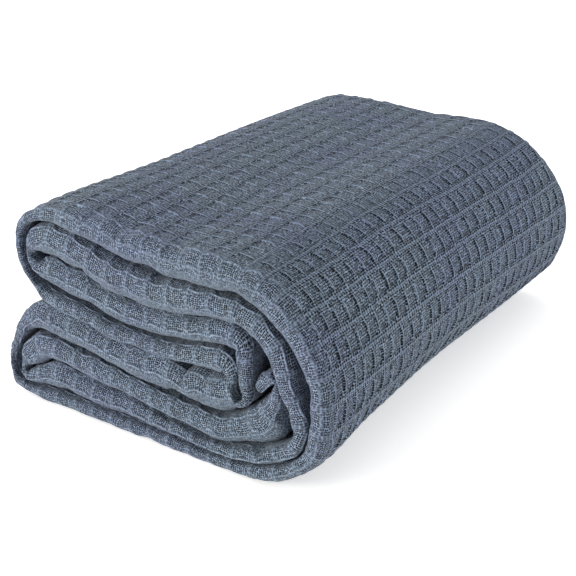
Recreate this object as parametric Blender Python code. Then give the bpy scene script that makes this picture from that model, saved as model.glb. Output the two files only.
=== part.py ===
"""A waffle weave cotton blanket, folded into a thick bundle.

The blanket is one woven cloth with its own hem. It is folded lengthwise into a
strip six layers deep, and the strip is folded back and forth and wrapped, so
that eight runs of it lie on one another. The strip is one solid here: it is
swept along the middle line of its runs and bends, as deep as the six layers
are at each place, with the round edges that folded cloth has.
"""

import math
from collections import namedtuple

import bmesh
import bpy
import numpy as np

MM = 0.001

# The bundle, in millimetres. Across it, X grows from the two open lobes to the
# wrapped side; Y runs along the strip's width and Z up from the surface.
BUNDLE_LENGTH = 377.0
SECTION_MIDDLE = 138.57
SKEW = 0.022
FAR_END_TAPER = 0.037
LAYER_GAP = 1.0
LEAST_HALF_DEPTH = 1.3

# How the layers are kept apart. A tight bend's inner side fills this share of its
# radius. Places of the strip are beside each other, not one after the other, once
# the strip between them is longer than their depths by this share and this much.
# Their depths are eased down, a share of the overlap at a time.
INNER_BEND_SHARE = 0.8
BESIDE_SHARE = 1.15
BESIDE_LEAST = 2.0
EASING_SHARE = 0.5
EASING_ROUNDS = 80
EASED = 0.02
STRAIGHT = 1e-6

# Where the bundle swells or draws in: the middle and the reach of the swelling,
# and how far it moves the cloth outwards along X and upwards. What lies within
# FLOOR_FADE of the surface stays down on it.
Swell = namedtuple("Swell", "x y z wide long tall out up")
SWELLS = (
    Swell(63.0, -150.0, 155.0, 45.0, 60.0, 70.0, 0.0, 4.2),
    Swell(35.0, 190.0, 150.0, 60.0, 70.0, 60.0, 1.3, -2.1),
    Swell(145.0, 60.0, 150.0, 26.0, 150.0, 40.0, 0.0, -1.3),
    Swell(275.0, -10.0, 30.0, 45.0, 90.0, 38.0, -3.9, 1.1),
    Swell(278.0, 170.0, 95.0, 40.0, 80.0, 50.0, 2.0, 1.4),
    Swell(20.0, 60.0, 105.0, 45.0, 190.0, 35.0, 1.5, 0.0),
    Swell(262.0, -175.0, 22.0, 30.0, 35.0, 28.0, 4.6, 0.0),
)
FLOOR_FADE = 25.0

# The edge of the folded strip: how deep its rounding is, and how square.
EDGE_DEPTH_SHARE = 0.5
EDGE_DEPTH_LEAST = 3.5
EDGE_DEPTH_MOST = 11.0
EDGE_SQUARENESS = 2.4

# The strip's two ends: the share of their half depth that is rounded off.
END_ROUNDING = 0.7
END_ANGLES = (35.0, 65.0, 90.0)

# How finely the solid is cut.
CURVE_STEPS = 12
PATH_STEP = 2.0
STATIONS = 176
BEND_WEIGHT = 26.0
EVENING = 7
EDGE_STEPS = 4
WIDTH_STEPS = 5

CLOTH_COLOUR = (0.115, 0.145, 0.185, 1.0)
CLOTH_ROUGHNESS = 0.92
SHARP_ANGLE = 50.0

# Where along X the heights of a run are given.
RUN_X = (45.0, 70.0, 110.0, 150.0, 190.0)

# A run of the strip: which way it heads, and how high its upper face is at each
# of RUN_X. The runs are given from the surface up.
Run = namedtuple("Run", "name heading heights")
RUNS = (
    Run("outer_floor", -1, (11.0, 11.0, 11.0, 10.0, 9.0)),
    Run("second_floor", +1, (35.0, 30.5, 27.5, 22.0, 18.0)),
    Run("tucked", -1, (53.5, 51.0, 44.0, 39.5, 37.0)),
    Run("loose", +1, (79.5, 74.0, 68.0, 68.0, 68.5)),
    Run("lower_arm", -1, (91.5, 87.0, 81.0, 81.0, 88.5)),
    Run("middle", +1, (115.0, 111.0, 101.0, 101.5, 107.5)),
    Run("second_top", -1, (140.5, 137.5, 129.5, 127.0, 128.0)),
    Run("outer_top", +1, (151.0, 154.0, 153.5, 151.0, 152.0)),
)

# A point of the strip's middle line: where it is and how deep the strip is there.
Spot = namedtuple("Spot", "x z depth")

# A bend or a loose end of the strip, between the runs that it joins.
BENDS = {
    "rolled_end": (
        Spot(221.0, 68.0, 9.0), Spot(226.0, 73.5, 13.0), Spot(231.5, 77.5, 10.0),
        Spot(236.0, 76.0, 6.0), Spot(236.0, 68.0, 11.0), Spot(233.5, 56.0, 24.0),
        Spot(225.0, 43.0, 29.0), Spot(212.0, 34.0, 23.0),
    ),
    "inner_lower_lobe": (
        Spot(33.0, 43.0, 22.0), Spot(20.5, 36.0, 21.0), Spot(13.0, 26.0, 8.0),
        Spot(11.5, 18.5, 5.0), Spot(16.0, 14.0, 8.0), Spot(30.0, 19.0, 15.0),
    ),
    "second_wrap": (
        Spot(215.0, 15.7, 12.0), Spot(232.0, 22.5, 13.0), Spot(245.5, 31.5, 11.0),
        Spot(252.5, 48.0, 10.5), Spot(248.5, 65.0, 16.5), Spot(243.0, 80.0, 19.0),
        Spot(238.0, 97.0, 19.0), Spot(227.0, 109.0, 20.0), Spot(208.0, 117.0, 20.0),
    ),
    "inner_upper_lobe": (
        Spot(35.0, 124.0, 20.0), Spot(28.5, 114.0, 6.0), Spot(34.0, 104.0, 13.0),
    ),
    "drooping_nose": (
        Spot(200.0, 98.0, 18.0), Spot(209.5, 94.0, 16.0), Spot(211.0, 82.0, 13.0),
        Spot(211.0, 70.0, 12.5), Spot(212.5, 60.0, 13.5), Spot(207.0, 53.0, 9.0),
        Spot(203.0, 59.0, 12.0), Spot(202.5, 69.0, 12.5), Spot(198.0, 77.0, 18.0),
    ),
    "outer_upper_lobe": (
        Spot(33.0, 94.5, 7.0), Spot(25.0, 105.0, 7.0), Spot(21.5, 117.0, 7.5),
        Spot(23.0, 129.0, 7.5), Spot(30.5, 139.5, 8.5),
    ),
    "outer_wrap": (
        Spot(212.0, 138.5, 24.0), Spot(232.0, 131.0, 22.0), Spot(252.0, 113.5, 18.0),
        Spot(266.0, 87.0, 16.0), Spot(268.5, 60.0, 16.5), Spot(262.5, 37.0, 15.0),
        Spot(251.5, 23.0, 12.5), Spot(240.0, 13.0, 12.0), Spot(225.0, 7.0, 12.0),
    ),
    "outer_lower_lobe": (
        Spot(24.0, 5.5, 8.0), Spot(6.0, 9.5, 7.0), Spot(2.0, 18.0, 6.0),
        Spot(3.5, 31.0, 7.0), Spot(10.5, 47.0, 9.0), Spot(20.5, 60.0, 14.0),
        Spot(33.0, 67.0, 22.0),
    ),
    "loose_end": (
        Spot(161.0, 50.5, 20.0), Spot(172.0, 53.0, 29.0), Spot(186.0, 52.5, 30.0),
        Spot(198.0, 56.0, 24.0),
    ),
}

# The strip from its rolled end to its loose one.
STRIP_ORDER = (
    "rolled_end", "tucked", "inner_lower_lobe", "second_floor", "second_wrap",
    "second_top", "inner_upper_lobe", "middle", "drooping_nose", "lower_arm",
    "outer_upper_lobe", "outer_top", "outer_wrap", "outer_floor",
    "outer_lower_lobe", "loose", "loose_end",
)
LOOSE_RUN_SPOTS = 4


def run_spots():
    """The spots of each run, stacked from the surface up with a gap between."""
    spots = {}
    below = np.zeros(len(RUN_X))
    for run in RUNS:
        above = np.array(run.heights)
        gap = 0.0 if run is RUNS[-1] else LAYER_GAP
        depth = above - below - gap
        row = [Spot(x, z + d / 2.0, d) for x, z, d in zip(RUN_X, below, depth)]
        spots[run.name] = row[::run.heading]
        below = above
    spots["loose"] = spots["loose"][:LOOSE_RUN_SPOTS]
    return spots


def strip_spots():
    """All the spots of the strip's middle line, from end to end."""
    runs = run_spots()
    line = []
    for name in STRIP_ORDER:
        line.extend(BENDS[name] if name in BENDS else runs[name])
    return np.array(line)


def smooth_line(spots):
    """A centripetal Catmull-Rom curve through the spots, in even short steps."""
    ends = np.vstack([2 * spots[0] - spots[1], spots, 2 * spots[-1] - spots[-2]])
    points = []
    for p0, p1, p2, p3 in zip(ends, ends[1:], ends[2:], ends[3:]):
        knots = [0.0]
        for a, b in ((p0, p1), (p1, p2), (p2, p3)):
            knots.append(knots[-1] + math.sqrt(np.linalg.norm((b - a)[:2])))
        t0, t1, t2, t3 = knots
        for t in np.linspace(t1, t2, CURVE_STEPS, endpoint=False):
            a1 = ((t1 - t) * p0 + (t - t0) * p1) / (t1 - t0)
            a2 = ((t2 - t) * p1 + (t - t1) * p2) / (t2 - t1)
            a3 = ((t3 - t) * p2 + (t - t2) * p3) / (t3 - t2)
            b1 = ((t2 - t) * a1 + (t - t0) * a2) / (t2 - t0)
            b2 = ((t3 - t) * a2 + (t - t1) * a3) / (t3 - t1)
            points.append(((t2 - t) * b1 + (t - t1) * b2) / (t2 - t1))
    points.append(spots[-1])
    points = np.array(points)
    length = line_length(points)
    even = np.linspace(0.0, length[-1], int(length[-1] / PATH_STEP) + 1)
    return np.stack([np.interp(even, length, column) for column in points.T], axis=1)


def line_length(line):
    """The length along the line at each of its points."""
    steps = np.linalg.norm(np.diff(line[:, :2], axis=0), axis=1)
    return np.concatenate([[0.0], np.cumsum(steps)])


def left_normals(line):
    """The unit normal at each point, to the left of the way that the line runs."""
    along = np.gradient(line[:, :2], axis=0)
    along /= np.linalg.norm(along, axis=1)[:, None]
    return np.stack([-along[:, 1], along[:, 0]], axis=1)


def turning(line, normals):
    """How sharply the line turns at each point, in radians a millimetre."""
    angle = np.unwrap(np.arctan2(normals[:, 1], normals[:, 0]))
    return np.gradient(angle, line_length(line))


def half_depths(line, normals):
    """How far the strip reaches to the left and right of its middle line.

    That is half its depth, less what would fold over itself inside a tight bend
    or come closer than the gap to another layer.
    """
    middle = line[:, :2]
    length = line_length(line)
    turn = turning(line, normals)
    apart = np.abs(length[:, None] - length[None, :])
    halves = []
    for side in (1, -1):
        inner = np.maximum(side * turn, STRAIGHT)
        halves.append(np.minimum(line[:, 2] / 2.0, INNER_BEND_SHARE / inner))
    for _ in range(EASING_ROUNDS):
        deepest = 0.0
        for side, half in zip((1, -1), halves):
            face = middle + side * normals * half[:, None]
            away = face[:, None, :] - middle[None, :, :]
            reach = np.where((away * normals[None]).sum(2) > 0, halves[0], halves[1])
            beside = apart > BESIDE_SHARE * (half[:, None] + reach) + BESIDE_LEAST
            excess = reach + LAYER_GAP - np.linalg.norm(away, axis=2)
            excess = np.where(beside, excess, 0.0).max(axis=1)
            deepest = max(deepest, excess.max())
            half -= EASING_SHARE * np.maximum(excess, 0.0)
            np.maximum(half, LEAST_HALF_DEPTH, out=half)
        if deepest < EASED:
            break
    return [np.minimum(half, evened(half)) for half in halves]


def evened(values):
    """The values along the line, each averaged with its neighbours."""
    padded = np.pad(values, EVENING // 2, mode="edge")
    return np.convolve(padded, np.full(EVENING, 1.0 / EVENING), mode="valid")


def chosen_stations(line, normals):
    """Stations along the line, closer together where it bends."""
    weight = 1.0 + BEND_WEIGHT * np.abs(turning(line, normals))
    weight = evened(weight)
    share = np.concatenate([[0.0], np.cumsum(weight[1:])])
    wanted = np.linspace(0.0, share[-1], STATIONS)
    index = np.round(np.interp(wanted, share, np.arange(len(line)))).astype(int)
    return np.unique(index)


def edge_ring(left, right, inset):
    """One station's outline, as offsets from the middle line and places along Y."""
    edge = min(max(EDGE_DEPTH_SHARE * (left + right), EDGE_DEPTH_LEAST), EDGE_DEPTH_MOST)
    power = 2.0 / EDGE_SQUARENESS
    flat = BUNDLE_LENGTH / 2.0 - inset - edge
    outline = []
    for end, start_side in ((-1, 1), (1, -1)):
        for step in range(2 * EDGE_STEPS + 1):
            angle = math.pi * step / (2 * EDGE_STEPS)
            rise = start_side * math.cos(angle)
            reach = left if rise > 0 else right
            offset = math.copysign(abs(rise) ** power, rise) * reach
            outline.append((offset, end * (flat + edge * math.sin(angle) ** power)))
        face = -right if end < 0 else left
        for step in range(1, WIDTH_STEPS):
            outline.append((face, end * flat * (1.0 - 2.0 * step / WIDTH_STEPS)))
    return outline


def place(x, y, z):
    """Where a point of the section goes in the bundle, in millimetres."""
    out = x - SECTION_MIDDLE + SKEW * y
    rise = max(z, 0.0) * (1.0 - FAR_END_TAPER * y / BUNDLE_LENGTH)
    for swell in SWELLS:
        share = math.exp(-((x - swell.x) / swell.wide) ** 2 - ((z - swell.z) / swell.tall) ** 2)
        share *= math.exp(-((y - swell.y) / swell.long) ** 2)
        out += swell.out * share
        rise += swell.up * share * min(max(z, 0.0) / FLOOR_FADE, 1.0)
    return (out, y, rise)


def strip_sections():
    """Each cut across the strip: its middle, normal, two half depths and inset.

    The cuts past the first and last stations round the strip's two ends off.
    """
    line = smooth_line(strip_spots())
    normals = left_normals(line)
    left, right = half_depths(line, normals)
    cuts = []
    for index in chosen_stations(line, normals):
        cuts.append((line[index, :2], normals[index], left[index], right[index], 0.0))
    for end in (0, -1):
        middle, normal, depth_left, depth_right, _ = cuts[end]
        beyond = np.array([normal[1], -normal[0]]) * (1 if end else -1)
        radius = min(depth_left, depth_right) * END_ROUNDING
        for angle in END_ANGLES:
            out = radius * math.sin(math.radians(angle))
            kept = 1.0 - END_ROUNDING * (1.0 - math.cos(math.radians(angle)))
            inset = radius * (1.0 - math.cos(math.radians(angle)))
            cut = (middle + beyond * out, normal, depth_left * kept, depth_right * kept, inset)
            cuts.insert(len(cuts) if end else 0, cut)
    return cuts


def blanket_mesh():
    """The points and faces of the folded strip, as one closed body."""
    points = []
    rings = []
    for (x, z), (across_x, across_z), left, right, inset in strip_sections():
        ring = []
        for offset, y in edge_ring(left, right, inset):
            ring.append(len(points))
            spot = place(x + across_x * offset, y, z + across_z * offset)
            points.append([MM * value for value in spot])
        rings.append(ring)
    faces = [rings[0][::-1], rings[-1]]
    for ring, following in zip(rings, rings[1:]):
        for a, b in zip(range(-1, len(ring) - 1), range(len(ring))):
            faces.append((ring[a], ring[b], following[b], following[a]))
    return points, faces


def cloth_material():
    """Matt slate blue cotton."""
    material = bpy.data.materials.new("slate_cotton")
    material.use_nodes = True
    shader = material.node_tree.nodes["Principled BSDF"]
    shader.inputs["Base Color"].default_value = CLOTH_COLOUR
    shader.inputs["Roughness"].default_value = CLOTH_ROUGHNESS
    shader.inputs["Metallic"].default_value = 0.0
    return material


def build_blanket():
    """The blanket as one object, resting on the surface."""
    points, faces = blanket_mesh()
    mesh = bpy.data.meshes.new("blanket")
    mesh.from_pydata(points, [], faces)
    form = bmesh.new()
    form.from_mesh(mesh)
    bmesh.ops.recalc_face_normals(form, faces=form.faces)
    form.to_mesh(mesh)
    form.free()
    mesh.materials.append(cloth_material())
    mesh.shade_smooth()
    mesh.set_sharp_from_angle(angle=math.radians(SHARP_ANGLE))
    blanket = bpy.data.objects.new("blanket", mesh)
    bpy.context.scene.collection.objects.link(blanket)
    return blanket


for leftover in list(bpy.data.objects):
    bpy.data.objects.remove(leftover)
build_blanket()
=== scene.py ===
import math
from collections import namedtuple

import bpy
import numpy as np
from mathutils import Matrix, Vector, noise


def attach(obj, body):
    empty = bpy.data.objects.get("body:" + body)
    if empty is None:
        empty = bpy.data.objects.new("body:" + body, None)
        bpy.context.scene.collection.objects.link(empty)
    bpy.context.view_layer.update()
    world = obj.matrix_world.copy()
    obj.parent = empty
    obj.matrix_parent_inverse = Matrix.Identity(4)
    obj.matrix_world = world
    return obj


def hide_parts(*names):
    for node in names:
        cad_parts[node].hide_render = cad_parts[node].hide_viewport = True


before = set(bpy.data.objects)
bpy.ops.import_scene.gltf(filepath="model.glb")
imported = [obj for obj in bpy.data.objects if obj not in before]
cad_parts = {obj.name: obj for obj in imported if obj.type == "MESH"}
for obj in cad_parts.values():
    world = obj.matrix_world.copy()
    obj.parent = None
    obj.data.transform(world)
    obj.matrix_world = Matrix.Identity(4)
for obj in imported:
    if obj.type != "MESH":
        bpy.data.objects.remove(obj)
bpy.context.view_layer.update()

# The stand: a plain pale floor that runs out of sight, and a camera in front of
# the folded end and to the right of it, looking down on the bundle. The camera's
# lengths are in millimetres and the floor's in metres.
MM = 0.001
CAMERA_TURN = math.radians(33.24)
CAMERA_RISE = math.radians(25.55)
CAMERA_AWAY = 930.9
CAMERA_AIM = (-6.2, -16.5, 51.9)
CAMERA_LENS = 74.04
CAMERA_SENSOR = 36.0
CAMERA_NEAR = 50.0
FLOOR_HALF = 6.0
FLOOR_COLOUR = (0.95, 0.93, 0.91, 1.0)
FLOOR_GLOW = 0.45
FLOOR_ROUGHNESS = 0.9


def look_at(thing, place, aim):
    """Turns a light or the camera, at its place, towards a point."""
    thing.location = place
    thing.rotation_euler = (Vector(aim) - Vector(place)).to_track_quat("-Z", "Y").to_euler()


def set_inputs(node, values):
    """Gives the inputs of a shader's node their values."""
    for name, value in values.items():
        node.inputs[name].default_value = value


camera = bpy.data.objects.new("camera", bpy.data.cameras.new("camera"))
bpy.context.scene.collection.objects.link(camera)
camera.data.lens = CAMERA_LENS
camera.data.sensor_width = CAMERA_SENSOR
camera.data.clip_start = MM * CAMERA_NEAR
away = Vector((
    math.sin(CAMERA_TURN) * math.cos(CAMERA_RISE),
    -math.cos(CAMERA_TURN) * math.cos(CAMERA_RISE),
    math.sin(CAMERA_RISE),
))
aim = MM * Vector(CAMERA_AIM)
look_at(camera, aim + MM * CAMERA_AWAY * away, aim)
bpy.context.scene.camera = camera
bpy.context.scene.view_settings.view_transform = "Standard"

floor_mesh = bpy.data.meshes.new("floor")
corners = [(x * FLOOR_HALF, y * FLOOR_HALF, 0) for x, y in ((-1, -1), (1, -1), (1, 1), (-1, 1))]
floor_mesh.from_pydata(corners, [], [(0, 1, 2, 3)])
floor_paint = bpy.data.materials.new("pale_floor")
floor_paint.use_nodes = True
set_inputs(floor_paint.node_tree.nodes["Principled BSDF"], {
    "Base Color": FLOOR_COLOUR, "Roughness": FLOOR_ROUGHNESS,
    "Emission Color": FLOOR_COLOUR, "Emission Strength": FLOOR_GLOW,
})
floor_mesh.materials.append(floor_paint)
floor = bpy.data.objects.new("floor", floor_mesh)
bpy.context.scene.collection.objects.link(floor)

# The light: a soft box low in front to the left, weaker ones overhead, to the left
# and behind to the right, and a white room. In metres.
SoftBox = namedtuple("SoftBox", "name place size watts colour")
SOFT_BOXES = (
    SoftBox("front_left_light", (-1.6, -2.25, 0.60), 1.3, 79.0, (1.0, 1.0, 0.98)),
    SoftBox("left_light", (-2.2, 0.4, 1.2), 1.0, 8.0, (1.0, 1.0, 1.0)),
    SoftBox("overhead_light", (-0.2, 0.5, 2.4), 2.2, 14.0, (0.94, 0.97, 1.0)),
    SoftBox("right_light", (1.9, 1.5, 1.1), 1.4, 22.0, (0.80, 0.90, 1.0)),
)
ROOM_COLOUR = (1.0, 1.0, 1.0, 1.0)
ROOM_STRENGTH = 0.63
LIGHT_AIM = (0.0, 0.0, 0.06)

for box in SOFT_BOXES:
    lamp = bpy.data.lights.new(box.name, "AREA")
    lamp.shape = "SQUARE"
    lamp.size = box.size
    lamp.energy = box.watts
    lamp.color = box.colour
    light = bpy.data.objects.new(box.name, lamp)
    bpy.context.scene.collection.objects.link(light)
    look_at(light, box.place, LIGHT_AIM)
room = bpy.data.worlds.new("white_room")
room.use_nodes = True
set_inputs(room.node_tree.nodes["Background"], {"Color": ROOM_COLOUR, "Strength": ROOM_STRENGTH})
bpy.context.scene.world = room

# The folded strip: the blanket is folded lengthwise into a strip six cloths
# deep, and the strip is laid back and forth and wrapped. Its section is a line
# of runs and bends, each as deep as the six cloths are there. In millimetres.
BUNDLE_LENGTH = 377.0
SECTION_MIDDLE = 138.57
SKEW = 0.022
FAR_END_TAPER = 0.037
LAYER_GAP = 1.0
LEAST_HALF_DEPTH = 1.3
INNER_BEND_SHARE = 0.8
BESIDE_SHARE = 1.15
BESIDE_LEAST = 2.0
EASING_SHARE = 0.5
EASING_ROUNDS = 80
EASED = 0.02
STRAIGHT = 1e-6
CURVE_STEPS = 12
PATH_STEP = 2.0
EVENING = 7
NEIGHBOUR_REACH = 50.0

RUN_X = (45.0, 70.0, 110.0, 150.0, 190.0)
Run = namedtuple("Run", "name heading heights")
RUNS = (
    Run("outer_floor", -1, (11.0, 11.0, 11.0, 10.0, 9.0)),
    Run("second_floor", +1, (35.0, 30.5, 27.5, 22.0, 18.0)),
    Run("tucked", -1, (53.5, 51.0, 44.0, 39.5, 37.0)),
    Run("loose", +1, (79.5, 74.0, 68.0, 68.0, 68.5)),
    Run("lower_arm", -1, (91.5, 87.0, 81.0, 81.0, 88.5)),
    Run("middle", +1, (115.0, 111.0, 101.0, 101.5, 107.5)),
    Run("second_top", -1, (140.5, 137.5, 129.5, 127.0, 128.0)),
    Run("outer_top", +1, (151.0, 154.0, 153.5, 151.0, 152.0)),
)
Spot = namedtuple("Spot", "x z depth")
BENDS = {
    "rolled_end": (
        Spot(221.0, 68.0, 9.0), Spot(226.0, 73.5, 13.0), Spot(231.5, 77.5, 10.0),
        Spot(236.0, 76.0, 6.0), Spot(236.0, 68.0, 11.0), Spot(233.5, 56.0, 24.0),
        Spot(225.0, 43.0, 29.0), Spot(212.0, 34.0, 23.0),
    ),
    "inner_lower_lobe": (
        Spot(33.0, 43.0, 22.0), Spot(20.5, 36.0, 21.0), Spot(13.0, 26.0, 8.0),
        Spot(11.5, 18.5, 5.0), Spot(16.0, 14.0, 8.0), Spot(30.0, 19.0, 15.0),
    ),
    "second_wrap": (
        Spot(215.0, 15.7, 12.0), Spot(232.0, 22.5, 13.0), Spot(245.5, 31.5, 11.0),
        Spot(252.5, 48.0, 10.5), Spot(248.5, 65.0, 16.5), Spot(243.0, 80.0, 19.0),
        Spot(238.0, 97.0, 19.0), Spot(227.0, 109.0, 20.0), Spot(208.0, 117.0, 20.0),
    ),
    "inner_upper_lobe": (
        Spot(35.0, 124.0, 20.0), Spot(28.5, 114.0, 6.0), Spot(34.0, 104.0, 13.0),
    ),
    "drooping_nose": (
        Spot(200.0, 98.0, 18.0), Spot(209.5, 94.0, 16.0), Spot(211.0, 82.0, 13.0),
        Spot(211.0, 70.0, 12.5), Spot(212.5, 60.0, 13.5), Spot(207.0, 53.0, 9.0),
        Spot(203.0, 59.0, 12.0), Spot(202.5, 69.0, 12.5), Spot(198.0, 77.0, 18.0),
    ),
    "outer_upper_lobe": (
        Spot(33.0, 94.5, 7.0), Spot(25.0, 105.0, 7.0), Spot(21.5, 117.0, 7.5),
        Spot(23.0, 129.0, 7.5), Spot(30.5, 139.5, 8.5),
    ),
    "outer_wrap": (
        Spot(212.0, 138.5, 24.0), Spot(232.0, 131.0, 22.0), Spot(252.0, 113.5, 18.0),
        Spot(266.0, 87.0, 16.0), Spot(268.5, 60.0, 16.5), Spot(262.5, 37.0, 15.0),
        Spot(251.5, 23.0, 12.5), Spot(240.0, 13.0, 12.0), Spot(225.0, 7.0, 12.0),
    ),
    "outer_lower_lobe": (
        Spot(24.0, 5.5, 8.0), Spot(6.0, 9.5, 7.0), Spot(2.0, 18.0, 6.0),
        Spot(3.5, 31.0, 7.0), Spot(10.5, 47.0, 9.0), Spot(20.5, 60.0, 14.0),
        Spot(33.0, 67.0, 22.0),
    ),
    "loose_end": (
        Spot(161.0, 50.5, 20.0), Spot(172.0, 53.0, 29.0), Spot(186.0, 52.5, 30.0),
        Spot(198.0, 56.0, 24.0),
    ),
}
STRIP_ORDER = (
    "rolled_end", "tucked", "inner_lower_lobe", "second_floor", "second_wrap",
    "second_top", "inner_upper_lobe", "middle", "drooping_nose", "lower_arm",
    "outer_upper_lobe", "outer_top", "outer_wrap", "outer_floor",
    "outer_lower_lobe", "loose", "loose_end",
)
LOOSE_RUN_SPOTS = 4


def strip_spots():
    """The spots of the strip's middle line from its rolled end to its loose one."""
    runs = {}
    below = np.zeros(len(RUN_X))
    for run in RUNS:
        above = np.array(run.heights)
        gap = 0.0 if run is RUNS[-1] else LAYER_GAP
        depth = above - below - gap
        row = [Spot(x, z + d / 2.0, d) for x, z, d in zip(RUN_X, below, depth)]
        runs[run.name] = row[::run.heading]
        below = above
    runs["loose"] = runs["loose"][:LOOSE_RUN_SPOTS]
    line = []
    for name in STRIP_ORDER:
        line.extend(BENDS[name] if name in BENDS else runs[name])
    return np.array(line)


def smooth_line(spots, step):
    """A centripetal Catmull-Rom curve through the spots, in even steps."""
    ends = np.vstack([2 * spots[0] - spots[1], spots, 2 * spots[-1] - spots[-2]])
    points = []
    for p0, p1, p2, p3 in zip(ends, ends[1:], ends[2:], ends[3:]):
        knots = [0.0]
        for a, b in ((p0, p1), (p1, p2), (p2, p3)):
            knots.append(knots[-1] + math.sqrt(np.linalg.norm((b - a)[:2])))
        t0, t1, t2, t3 = knots
        for t in np.linspace(t1, t2, CURVE_STEPS, endpoint=False):
            a1 = ((t1 - t) * p0 + (t - t0) * p1) / (t1 - t0)
            a2 = ((t2 - t) * p1 + (t - t1) * p2) / (t2 - t1)
            a3 = ((t3 - t) * p2 + (t - t2) * p3) / (t3 - t2)
            b1 = ((t2 - t) * a1 + (t - t0) * a2) / (t2 - t0)
            b2 = ((t3 - t) * a2 + (t - t1) * a3) / (t3 - t1)
            points.append(((t2 - t) * b1 + (t - t1) * b2) / (t2 - t1))
    points.append(spots[-1])
    points = np.array(points)
    length = line_length(points)
    even = np.linspace(0.0, length[-1], int(length[-1] / step) + 1)
    return np.stack([np.interp(even, length, column) for column in points.T], axis=1)


def line_length(line):
    """The length along the line at each of its points."""
    steps = np.linalg.norm(np.diff(line[:, :2], axis=0), axis=1)
    return np.concatenate([[0.0], np.cumsum(steps)])


def left_normals(line):
    """The unit normal at each point, to the left of the way that the line runs."""
    along = np.gradient(line[:, :2], axis=0)
    along /= np.linalg.norm(along, axis=1)[:, None]
    return np.stack([-along[:, 1], along[:, 0]], axis=1)


def turning(line, normals):
    """How sharply the line turns at each point, in radians a millimetre."""
    angle = np.unwrap(np.arctan2(normals[:, 1], normals[:, 0]))
    return np.gradient(angle, line_length(line))


def evened(values, width=EVENING):
    """The values along the line, each averaged with its neighbours."""
    padded = np.pad(values, width // 2, mode="edge")
    return np.convolve(padded, np.full(width, 1.0 / width), mode="valid")


def half_depths(line, normals):
    """How far the strip reaches to the left and right of its middle line."""
    middle = line[:, :2]
    length = line_length(line)
    turn = turning(line, normals)
    halves = []
    for side in (1, -1):
        inner = np.maximum(side * turn, STRAIGHT)
        halves.append(np.minimum(line[:, 2] / 2.0, INNER_BEND_SHARE / inner))
    apart = np.linalg.norm(middle[:, None, :] - middle[None, :, :], axis=2)
    here, there = np.nonzero(apart < NEIGHBOUR_REACH)
    first = np.searchsorted(here, np.arange(len(line)))
    between = np.abs(length[here] - length[there])
    for _ in range(EASING_ROUNDS):
        deepest = 0.0
        for side, half in zip((1, -1), halves):
            face = middle + side * normals * half[:, None]
            away = face[here] - middle[there]
            ahead = (away * normals[there]).sum(1) > 0
            reach = np.where(ahead, halves[0][there], halves[1][there])
            beside = between > BESIDE_SHARE * (half[here] + reach) + BESIDE_LEAST
            excess = reach + LAYER_GAP - np.linalg.norm(away, axis=1)
            worst = np.maximum.reduceat(np.where(beside, excess, 0.0), first)
            deepest = max(deepest, worst.max())
            half -= EASING_SHARE * np.maximum(worst, 0.0)
            np.maximum(half, LEAST_HALF_DEPTH, out=half)
        if deepest < EASED:
            break
    return [np.minimum(half, evened(half)) for half in halves]


# The strip's shape along its length, with a few cuts past each end that round it
# off, and where the bundle swells or draws in, as in the solid. A swell has its
# place in the section and along the bundle, its reach, and how far out and up it goes.
EDGE_DEPTH_SHARE = 0.5
EDGE_DEPTH_LEAST = 3.5
EDGE_DEPTH_MOST = 11.0
EDGE_SQUARENESS = 2.4
EDGE_ANGLES = 33
END_ROUNDING = 0.7
END_CUTS = 9
FINE_STEP = 1.1
TURN_EVENING = 5
Swell = namedtuple("Swell", "x y z wide long tall out up")
SWELLS = (
    Swell(63.0, -150.0, 155.0, 45.0, 60.0, 70.0, 0.0, 4.2),
    Swell(35.0, 190.0, 150.0, 60.0, 70.0, 60.0, 1.3, -2.1),
    Swell(145.0, 60.0, 150.0, 26.0, 150.0, 40.0, 0.0, -1.3),
    Swell(275.0, -10.0, 30.0, 45.0, 90.0, 38.0, -3.9, 1.1),
    Swell(278.0, 170.0, 95.0, 40.0, 80.0, 50.0, 2.0, 1.4),
    Swell(20.0, 60.0, 105.0, 45.0, 190.0, 35.0, 1.5, 0.0),
    Swell(262.0, -175.0, 22.0, 30.0, 35.0, 28.0, 4.6, 0.0),
)
FLOOR_FADE = 25.0


def place(x, y, z):
    """Where points of the section go in the bundle, in millimetres."""
    out = x - SECTION_MIDDLE + SKEW * y
    rise = np.maximum(z, 0.0) * (1.0 - FAR_END_TAPER * y / BUNDLE_LENGTH)
    lifted = np.clip(z / FLOOR_FADE, 0.0, 1.0)
    for swell in SWELLS:
        share = np.exp(-((x - swell.x) / swell.wide) ** 2 - ((z - swell.z) / swell.tall) ** 2)
        share = share * np.exp(-((y - swell.y) / swell.long) ** 2)
        out = out + swell.out * share
        rise = rise + swell.up * share * lifted
    return np.stack([out, y, rise], axis=-1)


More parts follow.
